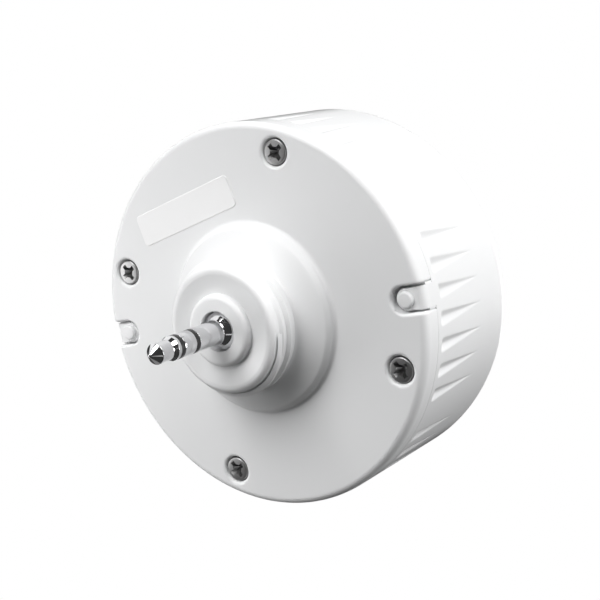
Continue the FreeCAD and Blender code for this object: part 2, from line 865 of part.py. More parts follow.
def make_board_parts():
    keep(box("microcontroller", "controller_size", "controller_size", "controller_height",
             "-controller_offset", "0", "part_base"), "microcontroller")
    keep(box("signal_amplifier", "amplifier_length", "amplifier_width", "amplifier_height",
             "amplifier_offset", "0", "part_base"), "signal_amplifier")
    keep(box("voltage_regulator", "regulator_length", "regulator_width", "regulator_height",
             "0", "-regulator_offset", "part_base"), "voltage_regulator")
    cans = []
    for index, side in enumerate((-1, 1), start=1):
        place = on_circle("capacitor_offset", f"(270 + {side} * 40)")
        cans.append(cylinder(f"capacitor_{index}", "capacitor_radius", "capacitor_height",
                             "part_base", *place))
    keep(group("reservoir_capacitors", cans), "reservoir_capacitors")


def make_connector():
    shell = box("socket_outside", "socket_length", "socket_width", "socket_height",
                "0", "socket_offset", "part_base")
    inner_length, inner_width = "(socket_length - 2 * socket_wall)", "(socket_width - 2 * socket_wall)"
    hollow = box("socket_inside", inner_length, inner_width, "socket_height", "0", "socket_offset",
                 "part_base + socket_floor")
    keep(cut("board_socket", shell, hollow), "board_socket")
    keep(box("lead_connector", f"{inner_length} - 2 * connector_gap", f"{inner_width} - 2 * connector_gap",
             "connector_height", "0", "socket_offset", "connector_base"), "lead_connector")


# Lens and its retainer

def make_lens():
    """A dome with a flange. Its outer and inner skins are arcs about one centre on the axis."""
    body = new_body("fresnel_lens")
    sketch = new_sketch(body, "XZ_Plane")
    dome_radius = "((lens_side^2 + lens_height^2) / (2 * lens_height))"
    centre_height = f"(front - lens_height + {dome_radius})"
    inner_radius = f"({dome_radius} - lens_wall)"
    inner_side = "(lens_side - lens_wall)"
    outer, inner = size(dome_radius), size(inner_radius)
    centre = Vector(0, size(centre_height), 0)
    axis = Vector(0, 0, 1)
    outer_end = math.asin(size("lens_side") / outer)
    inner_end = math.asin(size(inner_side) / inner)
    down = -math.pi / 2
    outer_arc, inner_arc = (
        sketch.addGeometry(Part.ArcOfCircle(Part.Circle(centre, axis, radius), down, down + end), False)
        for radius, end in ((outer, outer_end), (inner, inner_end))
    )
    inner_edge = size(centre_height) - inner * math.cos(inner_end)
    corners = [
        ("lens_side", "front"),
        ("lens_side", "floor"),
        ("lens_flange", "floor"),
        ("lens_flange", "lens_base"),
        (inner_side, "lens_base"),
    ]
    places = [Vector(size(across), size(up), 0) for across, up in corners]
    places.append(Vector(size(inner_side), inner_edge, 0))
    lines = [sketch.addGeometry(Part.LineSegment(*pair), False) for pair in zip(places, places[1:])]
    bottom, top = Vector(0, centre.y - outer, 0), Vector(0, centre.y - inner, 0)
    axis_line = sketch.addGeometry(Part.LineSegment(top, bottom), False)
    for before, after in zip(lines, lines[1:]):
        sketch.addConstraint(Sketcher.Constraint("Coincident", before, 2, after, 1))
    for first, first_end, second, second_end in (
        (outer_arc, 2, lines[0], 1), (inner_arc, 2, lines[-1], 2),
        (inner_arc, 1, axis_line, 1), (outer_arc, 1, axis_line, 2), (outer_arc, 3, inner_arc, 3),
    ):
        sketch.addConstraint(Sketcher.Constraint("Coincident", first, first_end, second, second_end))
    sketch.addConstraint(Sketcher.Constraint("PointOnObject", axis_line, 1, -2))
    sketch.addConstraint(Sketcher.Constraint("PointOnObject", axis_line, 2, -2))
    sketch.addConstraint(Sketcher.Constraint("Vertical", lines[-1]))
    for line, (across, up) in zip(lines, corners):
        pin_point(sketch, line, 1, across, up)
    pin_point(sketch, outer_arc, 3, "0", centre_height)
    index = sketch.addConstraint(Sketcher.Constraint("Radius", inner_arc, inner))
    sketch.setExpression(f"Constraints[{index}]", cells(inner_radius))
    revolve(body, sketch)
    return keep(body, "fresnel_lens")


def make_retainer():
    inner = "lens_flange - retainer_wall"
    body = turned("lens_retainer", [
        (inner, "lens_base"),
        ("lens_flange", "lens_base"),
        ("lens_flange", "board_under - retainer_gap"),
        (inner, "board_under - retainer_gap"),
    ])
    return keep(body, "lens_retainer")


# Clear sticker on the cover

def make_sticker():
    body = new_body("face_sticker")
    sketch = new_sketch(body, "XY_Plane")
    half_length, half_width = "sticker_length / 2", "sticker_width / 2"
    corners = [
        (f"-{half_length}", f"-{half_width}"),
        (half_length, f"-{half_width}"),
        (half_length, half_width),
        (f"-{half_length}", half_width),
    ]
    add_outline(sketch, corners)
    plate = pad(body, sketch, "sticker_thickness")
    upright = [
        f"Edge{index}" for index, edge in enumerate(plate.Shape.Edges, start=1)
        if abs(edge.tangentAt(edge.FirstParameter).z) > 0.5
    ]
    rounding = body.newObject("PartDesign::Fillet", "sticker_corners")
    rounding.Base = (plate, upright)
    bind(rounding, Radius="sticker_round")
    body.Tip = rounding
    for letter, formula in (("x", "sticker_right"), ("y", "sticker_forward"), ("z", "face")):
        body.setExpression(f".Placement.Base.{letter}", cells(formula))
    body.Placement.Rotation = Rotation(Vector(0, 0, 1), size("sticker_turn"))
    body.setExpression(".Placement.Rotation.Angle", cells("sticker_turn"))
    return keep(body, "face_sticker")


make_rear_cover()
make_front_housing()
make_screw_ring("cover_screws", 4, "screw_circle", "screw_angle", "screw_seat", "screw_head_radius",
                "screw_head_height", "screw_radius", "recess_depth + screw_length - screw_head_height")
make_bushing()
make_sleeve()
make_collared_tube("sleeve_insulator", "sleeve_core + fit_gap", "shank_bore", "shank_end - core_step",
                   "sleeve_top", "ring_bottom")
make_collared_tube("plug_ring", "ring_core + fit_gap", "sleeve_core", "ring_end", "ring_bottom", "ring_top")
make_collared_tube("ring_insulator", "core_radius + fit_gap", "ring_core", "ring_end - core_step",
                   "ring_top", "tip_bottom")
make_tip()
make_plug_washer()
make_plug_nut()
make_plug_tags()
make_leads()
make_board()
make_screw_ring("board_screws", 3, "board_post_circle", "board_post_angle", "board_top",
                "board_screw_head_radius", "board_screw_head_height", "board_screw_radius",
                "board_screw_length - board_screw_head_height")
make_detector()
make_domed_part("light_sensor", "-led_offset")
make_domed_part("status_led", "led_offset")
make_receiver()
make_board_parts()
make_connector()
make_lens()
make_retainer()
make_sticker()
doc.recompute()

bad = [item.Name for item in doc.Objects if "Invalid" in item.State or "Error" in item.State]
for item in parts:
    if item.Shape.isNull() or not item.Shape.isValid():
        bad.append(item.Label)
if bad:
    raise RuntimeError("These failed: " + ", ".join(bad))

os.makedirs("parts", exist_ok=True)
for item in parts:
    item.Shape.exportStep(f"parts/{item.Label}.step")
    print(item.Label, "volume", round(item.Shape.Volume, 2), "solids", len(item.Shape.Solids))
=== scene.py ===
import json
import math

import bmesh
import bpy
from mathutils import Matrix, Vector


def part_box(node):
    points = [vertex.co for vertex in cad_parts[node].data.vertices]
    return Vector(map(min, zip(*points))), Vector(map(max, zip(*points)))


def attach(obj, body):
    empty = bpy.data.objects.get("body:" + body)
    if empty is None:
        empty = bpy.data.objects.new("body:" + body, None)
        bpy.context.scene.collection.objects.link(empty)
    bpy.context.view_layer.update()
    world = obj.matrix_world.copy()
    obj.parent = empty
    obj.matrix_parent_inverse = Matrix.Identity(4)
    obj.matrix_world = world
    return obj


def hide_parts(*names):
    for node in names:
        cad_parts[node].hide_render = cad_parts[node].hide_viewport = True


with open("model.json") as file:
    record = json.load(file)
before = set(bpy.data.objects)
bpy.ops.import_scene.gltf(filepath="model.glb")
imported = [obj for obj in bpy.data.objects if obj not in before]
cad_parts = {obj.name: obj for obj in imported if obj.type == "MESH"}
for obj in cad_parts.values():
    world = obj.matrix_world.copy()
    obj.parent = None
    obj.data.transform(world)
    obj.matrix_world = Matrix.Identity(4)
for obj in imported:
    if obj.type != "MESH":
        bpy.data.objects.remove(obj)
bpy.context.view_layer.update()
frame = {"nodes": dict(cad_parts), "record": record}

# A plug-in occupancy sensor, seen from behind: grooved housing, cover with a sloping boss,
# threaded collar and a three-contact plug. Outlines are in millimetres, in the row frame.
# The pieces inside keep their CAD meshes.

MM = 0.001
ROUND = ((360, 96),)


def lowest(node):
    """Height of a CAD node's bottom, in millimetres."""
    return round(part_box(node)[0][2] / MM, 3)


def highest(node):
    """Height of a CAD node's top, in millimetres."""
    return round(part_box(node)[1][2] / MM, 3)


def radius_of(node):
    """Radius of a round CAD node, in millimetres."""
    return round(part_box(node)[1][0] / MM, 3)


# The sticker lies on the cover's face, and the washer against the ceiling of the boss.
BODY = radius_of("front_housing")
FRONT = lowest("front_housing")
FACE = lowest("face_sticker")
SPIGOT_END = lowest("rear_cover")
SEAM = FACE - 3.3
HOUSING_TOP = SEAM - 0.03
BORE = BODY - 2
PLATE_UNDER = FACE - 2.2
REAR_ROUND = 1.1
SCREW_CIRCLE = BODY - 3.85
SCREW_SEAT = FACE - 1.8
SCREW_ANGLES = [-22.5 + 90 * index for index in range(4)]
RECESS = 2.05
RECESS_ROUND = 0.6
EDGE_ROUND = 0.42
NOTCH_HALF = 1.95
NOTCH_INNER = BODY - 5.05
LUG_HALF = NOTCH_HALF - 0.33
LUG_INNER = NOTCH_INNER + 0.48
LUG_TOP = FACE - 0.6
LUG_ANGLES = (0, 180)
GROOVE_START = SEAM - 1.05
GROOVE_LENGTH = 12.5

CORE = 9.9
THREAD_CREST = CORE + 0.48
DISH = 4.6
COLLAR_TOP = 5.12
BUSHING_TOP = highest("plug_bushing")
CEILING = highest("plug_washer")

PLUG = radius_of("plug_tip")
LEDGE = 4.35
SLEEVE_END = highest("plug_sleeve")
RING_START = highest("sleeve_insulator")
RING_END = highest("plug_ring")
TIP_START = highest("ring_insulator")
TIP_END = highest("plug_tip")

LENS_FLANGE = radius_of("fresnel_lens")
LENS_FRONT = lowest("fresnel_lens")
LENS_BASE = highest("fresnel_lens")
FLOOR = LENS_BASE - 1
LENS_SIDE = LENS_FLANGE - 1.9
LENS_OPENING = LENS_SIDE + 0.2
LENS_WALL = 0.8

STICKER_LENGTH = 19.8
STICKER_WIDTH = 5.0
STICKER_TOP = highest("face_sticker")
STICKER_BEVEL = 0.3


# Outlines and turned meshes

def arc_points(before, here, after, rounding):
    """Points of the arc that rounds a corner between two straight runs."""
    one, two = (before - here).normalized(), (after - here).normalized()
    half = one.angle(two) / 2
    centre = here + (one + two).normalized() * rounding / math.sin(half)
    reach = rounding / math.tan(half)
    first, last = here + one * reach - centre, here + two * reach - centre
    start = math.atan2(first.y, first.x)
    turn = math.remainder(math.atan2(last.y, last.x) - start, math.tau)
    steps = max(3, round(3 + 6 * rounding))
    angles = [start + turn * step / steps for step in range(steps + 1)]
    return [centre + Vector((math.cos(angle), math.sin(angle))) * rounding for angle in angles]


def outline(corners):
    """Points through (radius, height) or (radius, height, rounding) corners."""
    points = []
    for index, corner in enumerate(corners):
        here = Vector(corner[:2])
        if len(corner) == 2:
            points.append(here)
            continue
        before = Vector(corners[index - 1][:2])
        after = Vector(corners[(index + 1) % len(corners)][:2])
        points += arc_points(before, here, after, corner[2])
    return points


def spun(corners, sectors=ROUND, closed=True):
    """An outline turned about Z, sector by sector, and copied round until the circle is full.

    The first sector is centred on +X.
    """
    span = sum(degrees for degrees, steps in sectors)
    bm = bmesh.new()
    first = math.radians(-sectors[0][0] / 2)
    across = Vector((math.cos(first), math.sin(first), 0))
    verts = [bm.verts.new(across * p.x * MM + Vector((0, 0, p.y * MM))) for p in outline(corners)]
    edges = [bm.edges.new(pair) for pair in zip(verts, verts[1:])]
    if closed:
        edges.append(bm.edges.new((verts[-1], verts[0])))
    section = verts + edges
    for degrees, steps in sectors:
        made = bmesh.ops.spin(bm, geom=section, cent=(0, 0, 0), axis=(0, 0, 1), dvec=(0, 0, 0),
                              angle=math.radians(degrees), steps=steps, use_merge=degrees == 360,
                              use_normal_flip=False, use_duplicate=False)
        section = made["geom_last"]
    if span < 360:
        bm = turned_copies(bm, range(0, 360, span))
    bmesh.ops.remove_doubles(bm, verts=bm.verts, dist=1e-7)
    bmesh.ops.recalc_face_normals(bm, faces=bm.faces)
    return bm


def steps_between(start, end, spacing):
    count = max(1, round(abs(end - start) / spacing))
    return [start + (end - start) * index / count for index in range(count + 1)]


def plan_outline(points):
    """A closed loop of edges in plan, at height 0."""
    bm = bmesh.new()
    verts = [bm.verts.new((x * MM, y * MM, 0)) for x, y in points]
    edges = [bm.edges.new((verts[index - 1], verts[index])) for index in range(len(verts))]
    return bm, edges


def slot_points(inner, half, outer, steps=24):
    """Plan of a slot along +X, round at its inner end."""
    points = []
    for index in range(steps + 1):
        angle = math.pi / 2 + math.pi * index / steps
        points.append((inner + half + half * math.cos(angle), half * math.sin(angle)))
    reach = math.asin(half / outer)
    for index in range(9):
        angle = -reach + 2 * reach * index / 8
        points.append((outer * math.cos(angle), outer * math.sin(angle)))
    return points


def prism(points, bottom, top):
    """An upright block with this plan."""
    bm, edges = plan_outline(points)
    made = bmesh.ops.contextual_create(bm, geom=edges)
    grown = bmesh.ops.extrude_face_region(bm, geom=made["faces"])
    upper = [item for item in grown["geom"] if isinstance(item, bmesh.types.BMVert)]
    bmesh.ops.translate(bm, verts=bm.verts, vec=(0, 0, bottom * MM))
    bmesh.ops.translate(bm, verts=upper, vec=(0, 0, (top - bottom) * MM))
    bmesh.ops.recalc_face_normals(bm, faces=bm.faces)
    return bm


def merged(*parts):
    """Several meshes as one, each kept as its own shell."""
    whole = bmesh.new()
    for bm in parts:
        mesh = bpy.data.meshes.new("shell")
        bm.to_mesh(mesh)
        bm.free()
        whole.from_mesh(mesh)
        bpy.data.meshes.remove(mesh)
    return whole


def turned(bm, angle):
    """The same mesh, turned about Z by an angle in degrees."""
    bmesh.ops.rotate(bm, verts=bm.verts, cent=(0, 0, 0), matrix=Matrix.Rotation(math.radians(angle), 3, "Z"))
    return bm


def turned_copies(bm, angles):
    """Copies of a mesh turned about Z."""
    copies = [turned(bm.copy(), angle) for angle in angles]
    bm.free()
    return merged(*copies)


def moved(bm, offset):
    bmesh.ops.translate(bm, verts=bm.verts, vec=[part * MM for part in offset])
    return bm


def as_object(name, bm):
    mesh = bpy.data.meshes.new(name)
    bm.to_mesh(mesh)
    bm.free()
    item = bpy.data.objects.new(name, mesh)
    bpy.context.scene.collection.objects.link(item)
    return item


def carve(bm, cutter):
    """The first mesh with the second one cut away."""
    item, tool = as_object("carved", bm), as_object("cutter", cutter)
    modifier = item.modifiers.new("cut", "BOOLEAN")
    modifier.operation, modifier.solver, modifier.object = "DIFFERENCE", "EXACT", tool
    bpy.context.view_layer.update()
    result = bmesh.new()
    result.from_object(item, bpy.context.evaluated_depsgraph_get())
    for used in (item, tool):
        mesh = used.data
        bpy.data.objects.remove(used)
        bpy.data.meshes.remove(mesh)
    return result


def piece(name, bm, node, material, crease=38):
    """A finished piece in place of a CAD node."""
    item = as_object(name, bm)
    item.data.materials.append(material)
    item.data.shade_smooth()
    item.data.set_sharp_from_angle(angle=math.radians(crease))
    weighted = item.modifiers.new("even_shading", "WEIGHTED_NORMAL")
    weighted.keep_sharp = True
    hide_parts(node)
    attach(item, "root")
    return item


# Shared effects

def new_group(name, inputs, outputs):
    group = bpy.data.node_groups.new(name, "ShaderNodeTree")
    for label, kind, default in inputs:
        socket = group.interface.new_socket(label, in_out="INPUT", socket_type=kind)
        if default is not None:
            socket.default_value = default
    for label, kind in outputs:
        group.interface.new_socket(label, in_out="OUTPUT", socket_type=kind)
    start = group.nodes.new("NodeGroupInput")
    end = group.nodes.new("NodeGroupOutput")
    return group, start, end


def add_node(tree, kind, values=None, **settings):
    """A node with its settings and the constant values of its sockets."""
    node = tree.nodes.new(kind)
    for name, value in settings.items():
        setattr(node, name, value)
    for name, value in (values or {}).items():
        node.inputs[name].default_value = value
    return node


def moulded_grain_group():
    """Fine tooling grain of a moulded face, with a faint slow waviness."""
    group, start, end = new_group(
        "moulded_grain",
        [("Vector", "NodeSocketVector", None), ("Scale", "NodeSocketFloat", 9000.0),
         ("Waviness", "NodeSocketFloat", 0.25)],
        [("Height", "NodeSocketFloat"), ("Mask", "NodeSocketFloat")])
    fine = add_node(group, "ShaderNodeTexNoise", {"Detail": 3.0, "Roughness": 0.6})
    slow = add_node(group, "ShaderNodeTexNoise", {"Scale": 140.0, "Detail": 2.0})
    weigh = add_node(group, "ShaderNodeMath", operation="MULTIPLY")
    total = add_node(group, "ShaderNodeMath", operation="ADD")
    link = group.links.new
    link(start.outputs["Vector"], fine.inputs["Vector"])
    link(start.outputs["Scale"], fine.inputs["Scale"])
    link(start.outputs["Vector"], slow.inputs["Vector"])
    link(slow.outputs["Fac"], weigh.inputs[0])
    link(start.outputs["Waviness"], weigh.inputs[1])
    link(fine.outputs["Fac"], total.inputs[0])
    link(weigh.outputs[0], total.inputs[1])
    link(total.outputs[0], end.inputs["Height"])
    link(slow.outputs["Fac"], end.inputs["Mask"])
    return group


def lathe_marks_group():
    """Fine rings left by turning, across the Z axis."""
    group, start, end = new_group(
        "lathe_marks",
        [("Vector", "NodeSocketVector", None), ("Scale", "NodeSocketFloat", 14000.0)],
        [("Height", "NodeSocketFloat"), ("Mask", "NodeSocketFloat")])
    stretch = add_node(group, "ShaderNodeVectorMath", {1: (0.04, 0.04, 1.0)}, operation="MULTIPLY")
    rings = add_node(group, "ShaderNodeTexNoise", {"Detail": 2.0})
    smears = add_node(group, "ShaderNodeTexNoise", {"Scale": 500.0, "Detail": 3.0})
    link = group.links.new
    link(start.outputs["Vector"], stretch.inputs[0])
    link(stretch.outputs[0], rings.inputs["Vector"])
    link(start.outputs["Scale"], rings.inputs["Scale"])
    link(start.outputs["Vector"], smears.inputs["Vector"])
    link(rings.outputs["Fac"], end.inputs["Height"])
    link(smears.outputs["Fac"], end.inputs["Mask"])
    return group


def vary_group():
    """A colour and a roughness, each shifted a little by a mask."""
    group, start, end = new_group(
        "slight_variation",
        [("Mask", "NodeSocketFloat", 0.5), ("Color", "NodeSocketColor", None),
         ("Tint", "NodeSocketColor", None), ("Amount", "NodeSocketFloat", 0.3),
         ("Roughness", "NodeSocketFloat", 0.4), ("Spread", "NodeSocketFloat", 0.08)],
        [("Color", "NodeSocketColor"), ("Roughness", "NodeSocketFloat")])
    share = add_node(group, "ShaderNodeMath", operation="MULTIPLY")
    mix = add_node(group, "ShaderNodeMix", data_type="RGBA")
    centred = add_node(group, "ShaderNodeMath", {1: 0.5}, operation="SUBTRACT")
    shifted = add_node(group, "ShaderNodeMath", operation="MULTIPLY_ADD")
    link = group.links.new
    link(start.outputs["Mask"], share.inputs[0])
    link(start.outputs["Amount"], share.inputs[1])
    link(share.outputs[0], mix.inputs[0])
    link(start.outputs["Color"], mix.inputs[6])
    link(start.outputs["Tint"], mix.inputs[7])
    link(mix.outputs[2], end.inputs["Color"])
    link(start.outputs["Mask"], centred.inputs[0])
    link(centred.outputs[0], shifted.inputs[0])
    link(start.outputs["Spread"], shifted.inputs[1])
    link(start.outputs["Roughness"], shifted.inputs[2])
    link(shifted.outputs[0], end.inputs["Roughness"])
    return group


GRAIN = moulded_grain_group()
LATHE = lathe_marks_group()
VARY = vary_group()


def grey(level):
    return (level, level, level, 1.0)


def new_material(name, colour, roughness, tint=None, amount=0.3, spread=0.08, marks=GRAIN, scale=9000.0,
                 bump=0.05, depth=0.00002, **values):
    """A material whose colour, roughness and relief vary by the shared effects."""
    material = bpy.data.materials.new(name)
    material.use_nodes = True
    tree = material.node_tree
    shader = tree.nodes["Principled BSDF"]
    for label, value in values.items():
        shader.inputs[label.replace("_", " ")].default_value = value
    place = add_node(tree, "ShaderNodeTexCoord")
    mapping = add_node(tree, "ShaderNodeMapping")
    effect = add_node(tree, "ShaderNodeGroup", node_tree=marks)
    effect.inputs["Scale"].default_value = scale
    vary = add_node(tree, "ShaderNodeGroup", node_tree=VARY)
    vary.inputs["Color"].default_value = colour
    vary.inputs["Tint"].default_value = tint or colour
    vary.inputs["Amount"].default_value = amount
    vary.inputs["Roughness"].default_value = roughness
    vary.inputs["Spread"].default_value = spread
    relief = add_node(tree, "ShaderNodeBump", {"Strength": bump, "Distance": depth})
    link = tree.links.new
    link(place.outputs["Object"], mapping.inputs["Vector"])
    link(mapping.outputs["Vector"], effect.inputs["Vector"])
    link(effect.outputs["Mask"], vary.inputs["Mask"])
    link(vary.outputs["Color"], shader.inputs["Base Color"])
    link(vary.outputs["Roughness"], shader.inputs["Roughness"])
    link(effect.outputs["Height"], relief.inputs["Height"])
    link(relief.outputs["Normal"], shader.inputs["Normal"])
    return material


def paint_grazing_shade(material, shade_colour):
    """Paints shade into the colour where the surface is seen edge-on: a thin dark outline in place of the
    shade on rounds that turn away from the lights.
    """
    tree = material.node_tree
    colour = tree.nodes["Principled BSDF"].inputs["Base Color"]
    facing = add_node(tree, "ShaderNodeLayerWeight", {"Blend": 0.5})
    span = add_node(tree, "ShaderNodeMapRange", {"From Min": 0.86, "From Max": 1.0},
                    interpolation_type="SMOOTHSTEP")
    mix = add_node(tree, "ShaderNodeMix", {7: shade_colour}, data_type="RGBA")
    link = tree.links.new
    link(facing.outputs["Facing"], span.inputs["Value"])
    link(span.outputs["Result"], mix.inputs[0])
    link(colour.links[0].from_socket, mix.inputs[6])
    link(mix.outputs[2], colour)


MATERIALS = {
    "white_plastic": new_material("white_plastic", (0.86, 0.865, 0.87, 1), 0.42, (0.84, 0.84, 0.84, 1),
                                  bump=0.12, IOR=1.49),
    "lens_plastic": new_material("lens_plastic", (0.84, 0.85, 0.845, 1), 0.38, (0.8, 0.81, 0.81, 1),
                                 bump=0.1, Subsurface_Weight=0.25, Subsurface_Scale=0.002, IOR=1.5),
    "screw_steel": new_material("screw_steel", grey(0.42), 0.38, grey(0.32), amount=0.6, spread=0.12,
                                scale=5000.0, bump=0.1, Metallic=1.0),
    "plated_contact": new_material("plated_contact", (0.80, 0.80, 0.81, 1), 0.1, (0.72, 0.72, 0.74, 1),
                                   amount=0.4, spread=0.08, marks=LATHE, bump=0.03, Metallic=1.0),
    "black_insulator": new_material("black_insulator", grey(0.012), 0.3, grey(0.02), bump=0.05),
    "tinned_metal": new_material("tinned_metal", (0.7, 0.7, 0.68, 1), 0.3, (0.6, 0.6, 0.58, 1), amount=0.6,
                                 scale=2500.0, bump=0.15, Metallic=1.0),
    "lead_cover": new_material("lead_cover", (0.55, 0.04, 0.03, 1), 0.4, (0.42, 0.03, 0.02, 1), bump=0.08),
    "connector_plastic": new_material("connector_plastic", (0.84, 0.8, 0.68, 1), 0.45, (0.8, 0.75, 0.62, 1),
                                      bump=0.1),
    "board_laminate": new_material("board_laminate", (0.02, 0.16, 0.06, 1), 0.28, (0.03, 0.24, 0.09, 1),
                                   amount=0.9, scale=1500.0, bump=0.2, Coat_Weight=0.3),
    "detector_window": new_material("detector_window", (0.06, 0.065, 0.08, 1), 0.12, (0.09, 0.07, 0.1, 1),
                                    amount=0.7, bump=0.02, Coat_Weight=0.6),
    "clear_resin": new_material("clear_resin", (0.85, 0.87, 0.9, 1), 0.1, (0.8, 0.82, 0.86, 1), bump=0.03,
                                Transmission_Weight=0.8, IOR=1.5),
    "red_resin": new_material("red_resin", (0.7, 0.03, 0.02, 1), 0.12, (0.5, 0.02, 0.02, 1), bump=0.03,
                              Transmission_Weight=0.5, IOR=1.5),
    "black_resin": new_material("black_resin", grey(0.03), 0.5, grey(0.045), scale=6000.0, bump=0.3),
    "capacitor_can": new_material("capacitor_can", (0.75, 0.76, 0.78, 1), 0.28, (0.65, 0.66, 0.68, 1),
                                  marks=LATHE, scale=5000.0, bump=0.08, Metallic=1.0),
    "black_plastic": new_material("black_plastic", grey(0.035), 0.45, grey(0.05), bump=0.15),
    "clear_film": new_material("clear_film", grey(0.99), 0.35, grey(0.97), bump=0.05, Alpha=0.96,
                               IOR=1.45),
}
# Painted shade: the white plastic's colour darkens to a thin dark outline where it is seen edge-on.
paint_grazing_shade(MATERIALS["white_plastic"], grey(0.3))
SLOTS = {part["node"]: part["material_slot"] for part in frame["record"]["subparts"]}
for node_name, node in frame["nodes"].items():
    node.data.materials.clear()
    node.data.materials.append(MATERIALS[SLOTS[node_name]])


# Rear cover

def notch_distance(x, y):
    """Distance in plan from the wall of the nearest locating notch, in millimetres."""
    middle = NOTCH_INNER + NOTCH_HALF
    if abs(x) < middle:
        return math.hypot(abs(x) - middle, y) - NOTCH_HALF
    return abs(y) - NOTCH_HALF


def round_notch_edges(bm):
    """Rounds the outer edge of the notches, by pushing the skin near them inwards."""
    boss_clear = 16
    ledge = BODY - REAR_ROUND
    for vert in bm.verts:
        x, y, z = (vert.co / MM)
        radius = math.hypot(x, y)
        on_skin = radius > boss_clear and (abs(z - FACE) < 0.001 or radius > ledge - 0.001)
        away = notch_distance(x, y)
        if not on_skin or z < SEAM - 0.01 or not -0.001 < away < EDGE_ROUND:
            continue
        depth = EDGE_ROUND - math.sqrt(max(0, EDGE_ROUND**2 - (EDGE_ROUND - away)**2))
        if radius <= ledge:
            inward = Vector((0, 0, -1))
        else:
            drop = min(0, FACE - REAR_ROUND - z)
            past = radius - ledge
            inward = Vector((-x / radius * past, -y / radius * past, drop)).normalized()
        vert.co += inward * depth * MM


def make_cover():
    """Cover with boss, dished collar and thread. Its sectors are finer near the notches."""
    sectors = ((16, 54), (164, 136))
    spigot = BORE - 0.15
    spigot_inner = spigot - 1.4
    flat_end = BODY - REAR_ROUND - 0.05
    rim_top = FACE - REAR_ROUND - 0.25
    corners = [
        (4.1, DISH),
        (5.4, DISH, 0.3),
        (8.25, COLLAR_TOP, 0.5),
        (9.45, COLLAR_TOP, 0.95),
        (9.5, 3.6, 0.4),
        (CORE, 3.1, 0.4),
        (CORE, 0.3),
        (10.15, 0.05, 0.2),
        (13.75, -1.72, 0.75),
        (14.3, -2.5, 0.3),
        (14.42, FACE, 0.7),
    ]
    corners += [(radius, FACE) for radius in steps_between(15.6, NOTCH_INNER - 0.8, 1.3)]
    corners += [(radius, FACE) for radius in steps_between(NOTCH_INNER - 0.65, flat_end, 0.15)]
    corners.append((BODY, FACE, REAR_ROUND))
    corners += [(BODY, height) for height in steps_between(rim_top, SEAM + 0.25, 0.21)]
    corners += [
        (BODY, SEAM, 0.03),
        (spigot, SEAM),
        (spigot, SPIGOT_END),
        (spigot_inner, SPIGOT_END),
        (spigot_inner, PLATE_UNDER),
        (12.0, PLATE_UNDER),
        (12.0, CEILING),
        (4.1, CEILING),
    ]
    body = spun(corners, sectors)
    recess_rim = RECESS + RECESS_ROUND
    recess = spun([
        (0, SCREW_SEAT),
        (RECESS, SCREW_SEAT),
        (RECESS, FACE - 0.01, RECESS_ROUND * 0.97),
        (recess_rim, FACE - 0.005),
        (recess_rim, FACE + 1),
        (0, FACE + 1),
    ], ((360, 64),), closed=False)
    recesses = turned_copies(moved(recess, (SCREW_CIRCLE, 0, 0)), SCREW_ANGLES)
    notch = prism(slot_points(NOTCH_INNER, NOTCH_HALF, BODY + 3, 48), SPIGOT_END - 0.95, FACE + 2)
    cover = carve(body, merged(recesses, turned_copies(notch, LUG_ANGLES)))
    round_notch_edges(cover)
    return merged(cover, thread_ridge())


def thread_ridge():
    """A right-handed thread round the collar, which rises from nothing and fades out again."""
    pitch, first, total, start_height = 1.75, -150, 500, 1.15
    inner, fade = CORE - 0.2, math.radians(50)
    shoulder = THREAD_CREST - 0.16
    section = [(inner, -0.75), (CORE, -0.66), (shoulder, -0.34), (THREAD_CREST, -0.2),
               (THREAD_CREST, 0.2), (shoulder, 0.34), (CORE, 0.66), (inner, 0.75)]
    bm = bmesh.new()
    turn = Matrix.Rotation(math.radians(first), 3, "Z")
    verts = [bm.verts.new(turn @ Vector((radius, 0, start_height + rise)) * MM) for radius, rise in section]
    edges = [bm.edges.new((verts[index - 1], verts[index])) for index in range(len(verts))]
    steps = total // 2
    bmesh.ops.spin(bm, geom=verts + edges, cent=(0, 0, 0), axis=(0, 0, 1),
                   dvec=(0, 0, pitch * MM * total / 360 / steps), angle=math.radians(total), steps=steps,
                   use_merge=False, use_normal_flip=False, use_duplicate=False)
    for vert in bm.verts:
        x, y, z = vert.co / MM
        angle = (math.atan2(y, x) - math.radians(first)) % math.tau
        angle += math.tau * round((z - start_height) / pitch - angle / math.tau)
        left = min(angle, math.radians(total) - angle)
        share = min(1, max(0, left / fade))
        share = share * share * (3 - 2 * share)
        radius = math.hypot(x, y)
        scale = (inner + (radius - inner) * share) / radius
        vert.co.x *= scale
        vert.co.y *= scale
    bmesh.ops.holes_fill(bm, edges=[edge for edge in bm.edges if edge.is_boundary], sides=0)
    bmesh.ops.recalc_face_normals(bm, faces=bm.faces)
    return bm


# Front housing

def groove_depth(angle, z):
    """Depth of the grip grooves in the wall at an angle in degrees and a height."""
    half, deepest, soft, end_length = 1.1, 0.52, 0.4, 0.5
    pitch, count, groups, first = 7.5, 7, 6, -30
    along = (GROOVE_START - z) / GROOVE_LENGTH
    if not 0 <= along < 1:
        return 0
    in_group = (angle - first + pitch / 2) % (360 / groups)
    if in_group > pitch * count:
        return 0
    offset = (in_group % pitch) - pitch / 2
    share = abs(math.radians(offset) * BODY) / (half * (1 - along))
    if share >= 1:
        return 0
    slope = 1 - (math.hypot(share, soft) - soft) / (math.hypot(1, soft) - soft)
    end_wall = min(1, (GROOVE_START - z) / end_length)
    return deepest * (1 - along) * slope * end_wall


